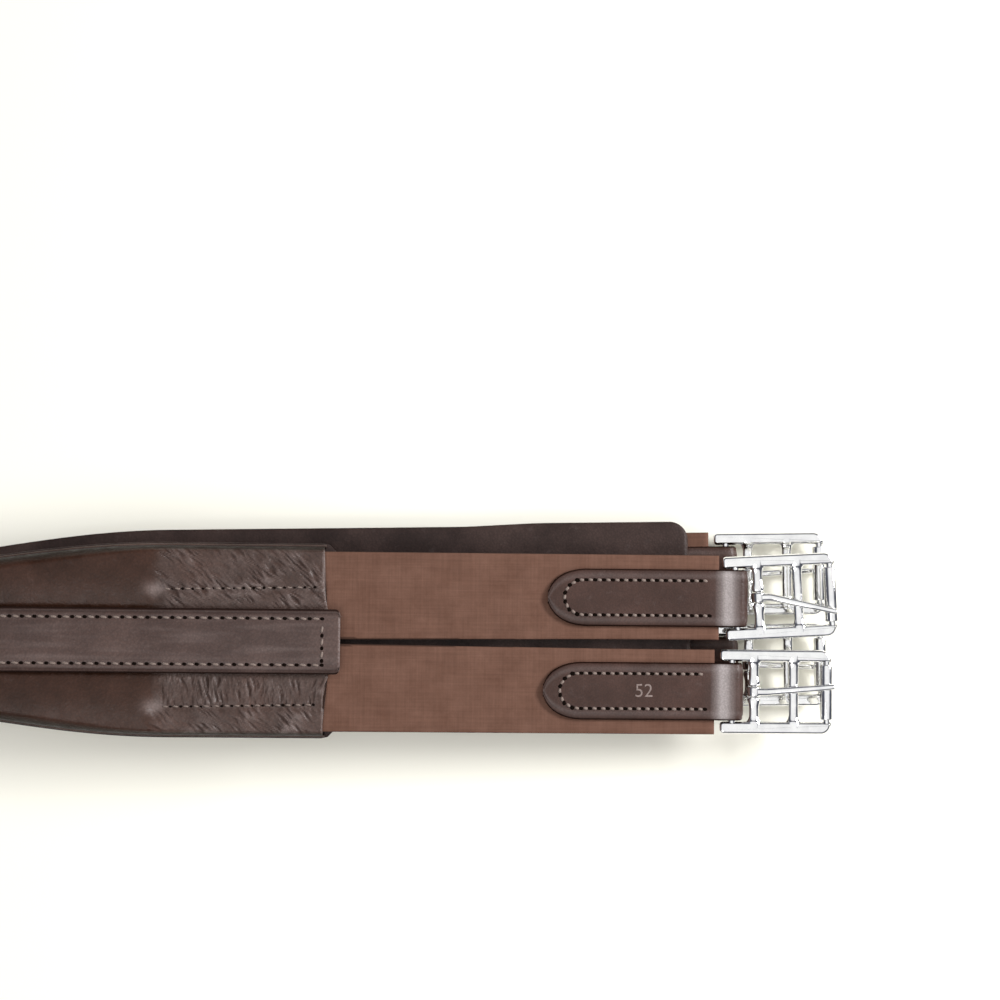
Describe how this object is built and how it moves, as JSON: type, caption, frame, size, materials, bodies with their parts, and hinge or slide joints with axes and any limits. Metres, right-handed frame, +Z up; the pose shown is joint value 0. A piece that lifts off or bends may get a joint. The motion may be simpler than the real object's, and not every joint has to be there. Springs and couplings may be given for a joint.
{
  "type": "saddle girth",
  "caption": "Contoured padded leather saddle girth, folded in half, with a raised stitched strap, elastic insets and roller buckles.",
  "frame": {"origin": "bottom centre of the folded girth's box, on the surface it lies on", "axes": "+X from the fold towards the buckles, +Y across the girth, +Z up through the two layers"},
  "size_m": [0.6544, 0.0986, 0.0529],
  "materials": {
    "lining": "soft dark lining, matt",
    "foam": "open-cell foam, hidden",
    "cover_leather": "padded leather, soft sheen",
    "strap_leather": "smooth leather, soft sheen",
    "web": "woven web, hidden",
    "elastic": "woven elastic, matt",
    "tab_leather": "smooth leather, soft sheen",
    "buckle_steel": "polished"
  },
  "bodies": {
    "lower_half": {"lower_lining": "lining", "lower_foam": "foam", "lower_cover": "cover_leather", "lower_strap": "strap_leather", "lower_web": "web"},
    "fold_link_1": {"fold_pad_1": "cover_leather", "fold_strap_1": "strap_leather"},
    "fold_link_2": {"fold_pad_2": "cover_leather", "fold_strap_2": "strap_leather"},
    "fold_link_3": {"fold_pad_3": "cover_leather", "fold_strap_3": "strap_leather"},
    "fold_link_4": {"fold_pad_4": "cover_leather", "fold_strap_4": "strap_leather"},
    "fold_link_5": {"fold_pad_5": "cover_leather", "fold_strap_5": "strap_leather"},
    "upper_half": {"upper_lining": "lining", "upper_foam": "foam", "upper_cover": "cover_leather", "upper_strap": "strap_leather", "upper_web": "web"},
    "lower_left_chape": {"lower_left_elastic": "elastic", "lower_left_chape": "tab_leather"},
    "lower_left_frame": {"lower_left_frame": "buckle_steel"},
    "lower_left_tongue": {"lower_left_tongue": "buckle_steel"},
    "lower_left_roller": {"lower_left_roller": "buckle_steel"},
    "lower_right_chape": {"lower_right_elastic": "elastic", "lower_right_chape": "tab_leather"},
    "lower_right_frame": {"lower_right_frame": "buckle_steel"},
    "lower_right_tongue": {"lower_right_tongue": "buckle_steel"},
    "lower_right_roller": {"lower_right_roller": "buckle_steel"},
    "upper_left_chape": {"upper_left_elastic": "elastic", "upper_left_chape": "tab_leather"},
    "upper_left_frame": {"upper_left_frame": "buckle_steel"},
    "upper_left_tongue": {"upper_left_tongue": "buckle_steel"},
    "upper_left_roller": {"upper_left_roller": "buckle_steel"},
    "upper_right_chape": {"upper_right_elastic": "elastic", "upper_right_chape": "tab_leather"},
    "upper_right_frame": {"upper_right_frame": "buckle_steel"},
    "upper_right_tongue": {"upper_right_tongue": "buckle_steel"},
    "upper_right_roller": {"upper_right_roller": "buckle_steel"}
  },
  "joints": [
    {"name": "fold_1", "type": "hinge", "parent": "lower_half", "child": "fold_link_1", "pos_m": [-0.3073, 0, 0], "axis": [0, -1, 0], "range_deg": [0, 30.32]},
    {"name": "fold_2", "type": "hinge", "parent": "fold_link_1", "child": "fold_link_2", "pos_m": [-0.31964, 0, 0.00722], "axis": [0, -1, 0], "range_deg": [0, 30.32]},
    {"name": "fold_3", "type": "hinge", "parent": "fold_link_2", "child": "fold_link_3", "pos_m": [-0.32666, 0, 0.01968], "axis": [0, -1, 0], "range_deg": [0, 30.32]},
    {"name": "fold_4", "type": "hinge", "parent": "fold_link_3", "child": "fold_link_4", "pos_m": [-0.32642, 0, 0.03398], "axis": [0, -1, 0], "range_deg": [0, 30.32]},
    {"name": "fold_5", "type": "hinge", "parent": "fold_link_4", "child": "fold_link_5", "pos_m": [-0.319, 0, 0.0462], "axis": [0, -1, 0], "range_deg": [0, 30.32]},
    {"name": "fold_6", "type": "hinge", "parent": "fold_link_5", "child": "upper_half", "pos_m": [-0.30642, 0, 0.05301], "axis": [0, -1, 0], "range_deg": [0, 30.32]},
    {"name": "lower_left_stretch", "type": "slide", "parent": "lower_half", "child": "lower_left_chape", "axis": [1, 0.0099, 0], "range_m": [0, 0.04], "stiffness_N_per_m": 1500, "deforming": ["lower_left_elastic"]},
    {"name": "lower_left_buckle_swing", "type": "hinge", "parent": "lower_left_chape", "child": "lower_left_frame", "pos_m": [0.27515, 0.0282, 0.0075], "axis": [-0.0099, 1, 0], "range_deg": [0, 75]},
    {"name": "lower_left_tongue_swing", "type": "hinge", "parent": "lower_left_frame", "child": "lower_left_tongue", "pos_m": [0.28595, 0.0283, 0.0075], "axis": [-0.0099, 1, 0], "range_deg": [0, 100]},
    {"name": "lower_left_roller_spin", "type": "hinge", "parent": "lower_left_frame", "child": "lower_left_roller", "pos_m": [0.32115, 0.02865, 0.0075], "axis": [-0.0099, 1, 0], "continuous": true},
    {"name": "lower_right_stretch", "type": "slide", "parent": "lower_half", "child": "lower_right_chape", "axis": [1, 0.0099, 0], "range_m": [0, 0.04], "stiffness_N_per_m": 1500, "deforming": ["lower_right_elastic"]},
    {"name": "lower_right_buckle_swing", "type": "hinge", "parent": "lower_right_chape", "child": "lower_right_frame", "pos_m": [0.27559, -0.0166, 0.0075], "axis": [-0.0099, 1, 0], "range_deg": [0, 75]},
    {"name": "lower_right_tongue_swing", "type": "hinge", "parent": "lower_right_frame", "child": "lower_right_tongue", "pos_m": [0.28639, -0.01649, 0.0075], "axis": [-0.0099, 1, 0], "range_deg": [0, 100]},
    {"name": "lower_right_roller_spin", "type": "hinge", "parent": "lower_right_frame", "child": "lower_right_roller", "pos_m": [0.32159, -0.01614, 0.0075], "axis": [-0.0099, 1, 0], "continuous": true},
    {"name": "upper_left_stretch", "type": "slide", "parent": "upper_half", "child": "upper_left_chape", "axis": [0.9994, -0.0099, -0.0332], "range_m": [0, 0.04], "stiffness_N_per_m": 1500, "deforming": ["upper_left_elastic"]},
    {"name": "upper_left_buckle_swing", "type": "hinge", "parent": "upper_left_chape", "child": "upper_left_frame", "pos_m": [0.2779, 0.01658, 0.02612], "axis": [0.0459, -0.9989, -0.0015], "range_deg": [0, 75]},
    {"name": "upper_left_tongue_swing", "type": "hinge", "parent": "upper_left_frame", "child": "upper_left_tongue", "pos_m": [0.28869, 0.01708, 0.02576], "axis": [0.0459, -0.9989, -0.0015], "range_deg": [0, 100]},
    {"name": "upper_left_roller_spin", "type": "hinge", "parent": "upper_left_frame", "child": "upper_left_roller", "pos_m": [0.32383, 0.01869, 0.02459], "axis": [0.0459, -0.9989, -0.0015], "continuous": true},
    {"name": "upper_right_stretch", "type": "slide", "parent": "upper_half", "child": "upper_right_chape", "axis": [0.9994, -0.0099, -0.0332], "range_m": [0, 0.04], "stiffness_N_per_m": 1500, "deforming": ["upper_right_elastic"]},
    {"name": "upper_right_buckle_swing", "type": "hinge", "parent": "upper_right_chape", "child": "upper_right_frame", "pos_m": [0.27546, -0.0282, 0.0262], "axis": [-0.0099, -1, 0.0003], "range_deg": [0, 75]},
    {"name": "upper_right_tongue_swing", "type": "hinge", "parent": "upper_right_frame", "child": "upper_right_tongue", "pos_m": [0.28625, -0.0283, 0.02584], "axis": [-0.0099, -1, 0.0003], "range_deg": [0, 100]},
    {"name": "upper_right_roller_spin", "type": "hinge", "parent": "upper_right_frame", "child": "upper_right_roller", "pos_m": [0.32143, -0.02865, 0.02467], "axis": [-0.0099, -1, 0.0003], "continuous": true}
  ],
  "couplings": [
    {"joint": "fold_2", "follows": "fold_1", "ratio": 1},
    {"joint": "fold_3", "follows": "fold_1", "ratio": 1},
    {"joint": "fold_4", "follows": "fold_1", "ratio": 1},
    {"joint": "fold_5", "follows": "fold_1", "ratio": 1},
    {"joint": "fold_6", "follows": "fold_1", "ratio": 1}
  ]
}
